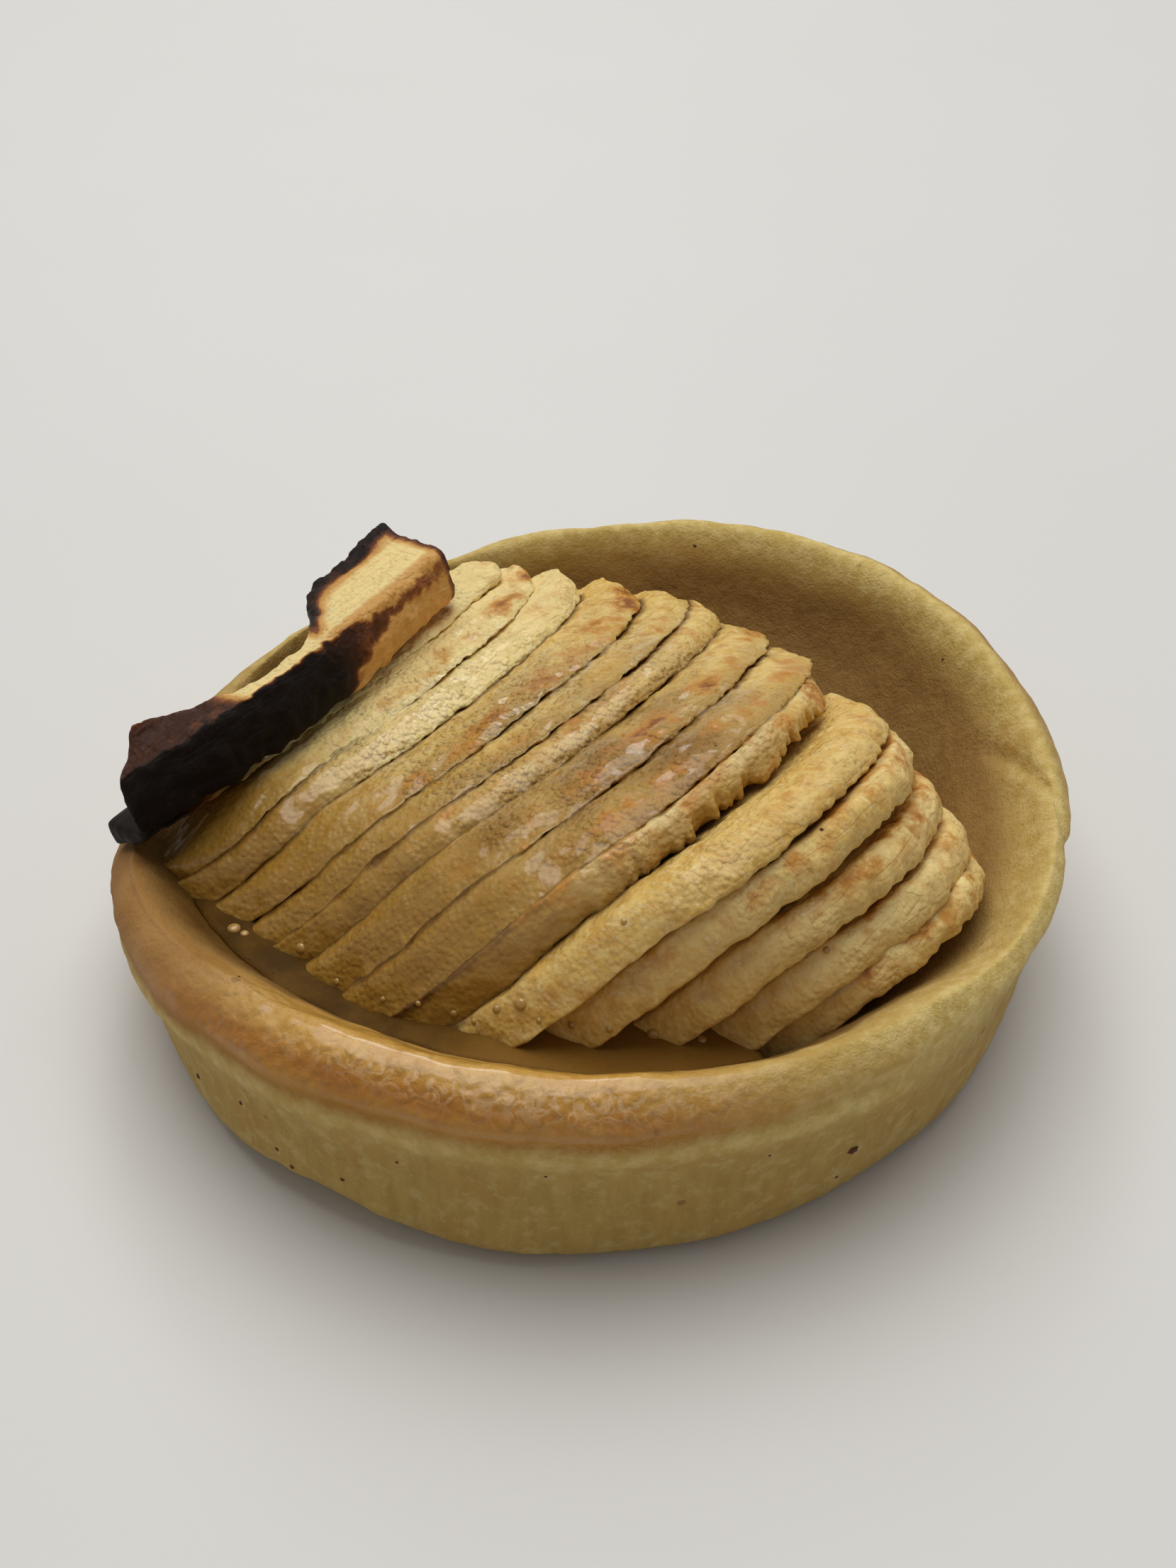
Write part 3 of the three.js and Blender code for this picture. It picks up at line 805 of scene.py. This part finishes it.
def paint_groove_shade(slices):
    """Painted shade: mark where each slice disappears under the one on top of it, to darken it there."""
    graph = bpy.context.evaluated_depsgraph_get()
    set_mask(slices[0].data, "painted_groove_shade", np.zeros(len(slices[0].data.vertices)))
    for over, under in zip(slices, slices[1:]):
        edge = BVHTree.FromObject(over, graph)
        near = [edge.find_nearest(vertex.co, GROOVE_SHADE_WIDTH)[3] for vertex in under.data.vertices]
        gap = np.array([GROOVE_SHADE_WIDTH if distance is None else distance for distance in near])
        set_mask(under.data, "painted_groove_shade", smoothstep(GROOVE_SHADE_WIDTH, 0.1 * GROOVE_SHADE_WIDTH, gap))


# Glaze: the juicy seam between the front tips of the slices and the rim

# Height of the glaze along the seam in mm, by heading from the case's axis
POOL_HEADINGS = [-172, -163, -152, -140, -126, -115, -104, -91, -78, -66]
POOL_HEIGHTS = [12.2, 11.6, 11.5, 11.8, 12.6, 14.0, 15.4, 15.3, 14.3, 12.4]
# Between these headings it turns lighter
POOL_LIGHTER = (-118, -98)
POOL_WIDTH = 12 * MM
POOL_CLIMB = 0.5 * MM
POOL_THICKNESS = 0.7 * MM
POOL_OVERLAP = 0.3 * MM
POOL_RIPPLE = 0.2 * MM


def glaze_pool(material, walls):
    sheet = bmesh.new()
    bmesh.ops.create_grid(sheet, x_segments=150, y_segments=18, size=0.5)
    for vertex in sheet.verts:
        share, across = vertex.co.x + 0.5, vertex.co.y + 0.5
        heading = POOL_HEADINGS[0] + share * (POOL_HEADINGS[-1] - POOL_HEADINGS[0])
        height = np.interp(heading, POOL_HEADINGS, POOL_HEIGHTS) * MM
        ray = Vector((math.cos(math.radians(heading)), math.sin(math.radians(heading)), 0))
        climb = POOL_CLIMB * math.sin(math.pi * share) ** 0.5
        top = walls.ray_cast(Vector((0, 0, height + climb)), ray)[0]
        rim = math.hypot(top.x, top.y) + POOL_OVERLAP
        radius = rim - POOL_WIDTH * (1 - across)
        ripple = noise.noise(Vector((radius, height, heading * 0.7 * MM)) / (4 * MM)) * POOL_RIPPLE
        vertex.co = ray * radius + Vector((0, 0, height + climb * across ** 5 + ripple))
    bmesh.ops.recalc_face_normals(sheet, faces=sheet.faces)
    bmesh.ops.solidify(sheet, geom=sheet.faces, thickness=POOL_THICKNESS)
    mesh = bpy.data.meshes.new("glaze_pool")
    sheet.to_mesh(mesh)
    sheet.free()
    points = positions(mesh)
    heading = np.degrees(np.arctan2(points[:, 1], points[:, 0]))
    set_mask(mesh, "lighter_band", smoothstep(*POOL_LIGHTER, heading))
    mesh.shade_smooth()
    mesh.materials.append(material)
    piece = place("glaze_pool", mesh)
    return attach(piece, "root")


# Crumbs and bubbles: place in the picture and size in mm of each, which lies on what is seen there

CRUMBS = [
    (280, 1518, 0.28), (340, 1556, 0.21), (391, 1621, 0.21), (412, 1646, 0.24), (483, 1664, 0.21),
    (1203, 1622, 0.49), (1159, 1170, 0.17), (1086, 1630, 0.14), (337, 1378, 0.14), (352, 1352, 0.15),
    (385, 1372, 0.14), (366, 1362, 0.13), (1180, 1660, 0.17), (980, 770, 0.21), (1010, 1052, 0.13),
    (1330, 930, 0.17), (770, 1660, 0.14), (560, 1640, 0.14),
]
BUBBLES = [
    (734, 1417, 0.6), (700, 1424, 0.4), (921, 1460, 0.6), (640, 1430, 0.35), (668, 1441, 0.3),
    (806, 1446, 0.4), (330, 1310, 0.7), (345, 1317, 0.45), (424, 1338, 0.55), (860, 1452, 0.35),
    (990, 1466, 0.5), (1140, 1345, 0.55), (760, 1440, 0.3), (590, 1416, 0.3), (1166, 1340, 0.35),
    (880, 1300, 0.3), (475, 1385, 0.35), (540, 1410, 0.3),
]


def seen_at(pixel_x, pixel_y, pieces):
    """The point of the pieces that the camera sees at a place in the picture, and its direction."""
    right, down = pixel_x - PICTURE_WIDTH / 2, pixel_y - PICTURE_HEIGHT / 2
    viewer = bpy.context.scene.camera.matrix_world
    view = viewer.to_3x3() @ Vector((right, -down, -FOCAL_PIXELS))
    start = viewer.translation
    hits = [tree.ray_cast(start, view.normalized()) for tree in pieces]
    hits = [hit for hit in hits if hit[0] is not None]
    nearest = min(hits, key=lambda hit: hit[3], default=(Vector(), Vector((0, 0, 1))))
    return nearest[0], nearest[1]


def scatter(name, places, pieces, material, flatness, roughness):
    """Small rounded bits, half sunk into the surface that they lie on."""
    bits = bmesh.new()
    for index, (pixel_x, pixel_y, size) in enumerate(places):
        point, facing = seen_at(pixel_x, pixel_y, pieces)
        made = bmesh.ops.create_icosphere(bits, subdivisions=2, radius=size * MM)["verts"]
        for vertex in made:
            vertex.co *= 1 + roughness * noise.noise(vertex.co / (0.6 * size * MM) + Vector((index, 0, 0)))
        bmesh.ops.scale(bits, vec=(1.0, 1.0, flatness), verts=made)
        bmesh.ops.rotate(bits, matrix=facing.to_track_quat("Z", "Y").to_matrix(), verts=made)
        bmesh.ops.translate(bits, vec=point, verts=made)
    mesh = bpy.data.meshes.new(name)
    bits.to_mesh(mesh)
    bits.free()
    mesh.shade_smooth()
    mesh.materials.append(material)
    piece = place(name, mesh)
    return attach(piece, "root")


# Room: table, soft light and the camera

CAMERA_HEIGHT_ANGLE = math.radians(38.8)
CAMERA_DISTANCE = 200 * MM
CAMERA_TARGET = Vector((-0.19, 8.59, 10)) * MM
PICTURE_WIDTH = 1659
PICTURE_HEIGHT = 2212
FOCAL_PIXELS = 2587
ROOM_BRIGHTNESS = 0.26
TABLE_HALF_WIDTH = 3.0


def table(material):
    plane = bmesh.new()
    bmesh.ops.create_grid(plane, x_segments=4, y_segments=4, size=TABLE_HALF_WIDTH)
    mesh = bpy.data.meshes.new("table")
    plane.to_mesh(mesh)
    plane.free()
    mesh.materials.append(material)
    place("table", mesh)


def camera():
    lens = bpy.data.cameras.new("camera")
    lens.sensor_fit = "VERTICAL"
    lens.sensor_height = 36
    lens.lens = lens.sensor_height * FOCAL_PIXELS / PICTURE_HEIGHT
    lens.clip_start = 5 * MM
    lens.clip_end = 20
    viewer = place("camera", lens)
    back = Vector((0, -math.cos(CAMERA_HEIGHT_ANGLE), math.sin(CAMERA_HEIGHT_ANGLE)))
    viewer.location = CAMERA_TARGET + back * CAMERA_DISTANCE
    viewer.rotation_euler = (math.pi / 2 - CAMERA_HEIGHT_ANGLE, 0, 0)
    bpy.context.scene.camera = viewer


def soft_light(name, location, size, power, tint):
    """A round lamp that shines on the tartlet."""
    lamp = bpy.data.lights.new(name, "AREA")
    lamp.shape = "DISK"
    lamp.size = size
    lamp.energy = power
    lamp.color = tint
    holder = place(name, lamp)
    holder.location = location
    holder.rotation_euler = (-Vector(location)).to_track_quat("-Z", "Y").to_euler()


def room_light():
    world = bpy.data.worlds.new("room")
    world.use_nodes = True
    backdrop = world.node_tree.nodes["Background"]
    backdrop.inputs["Color"].default_value = (1.0, 0.99, 0.97, 1.0)
    backdrop.inputs["Strength"].default_value = ROOM_BRIGHTNESS
    bpy.context.scene.world = world
    soft_light("ceiling_light", (-0.04, 0.3, 0.94), size=1.1, power=7.4, tint=(1.0, 0.985, 0.96))
    soft_light("window_light", (-0.1, 0.95, 0.72), size=0.28, power=1.0, tint=(1.0, 0.99, 0.97))
    bpy.context.scene.view_settings.view_transform = "Standard"


camera()
room_light()
table(floor_material())
case = shortcrust_case(pastry_material())
glazed_apple = apple_material("glazed_apple", gloss=0.25, coat=0.8)
burnt_apple = apple_material("burnt_apple", gloss=0.2, coat=0.3)
slices = [
    apple_slice(node, number, burnt_apple if node.endswith(BURNT_SLICE) else glazed_apple)
    for number, node in enumerate(SLICES)
]
paint_groove_shade(slices)
bpy.context.view_layer.update()
graph = bpy.context.evaluated_depsgraph_get()
surfaces = [BVHTree.FromObject(piece, graph) for piece in [case, *slices]]
pool = glaze_pool(glaze_material(), surfaces[0])
bpy.context.view_layer.update()
surfaces.append(BVHTree.FromObject(pool, bpy.context.evaluated_depsgraph_get()))
scatter("oven_crumbs", CRUMBS, surfaces, crumb_material(), flatness=0.6, roughness=0.5)
scatter("glaze_bubbles", BUBBLES, surfaces, bubble_material(), flatness=0.55, roughness=0.05)
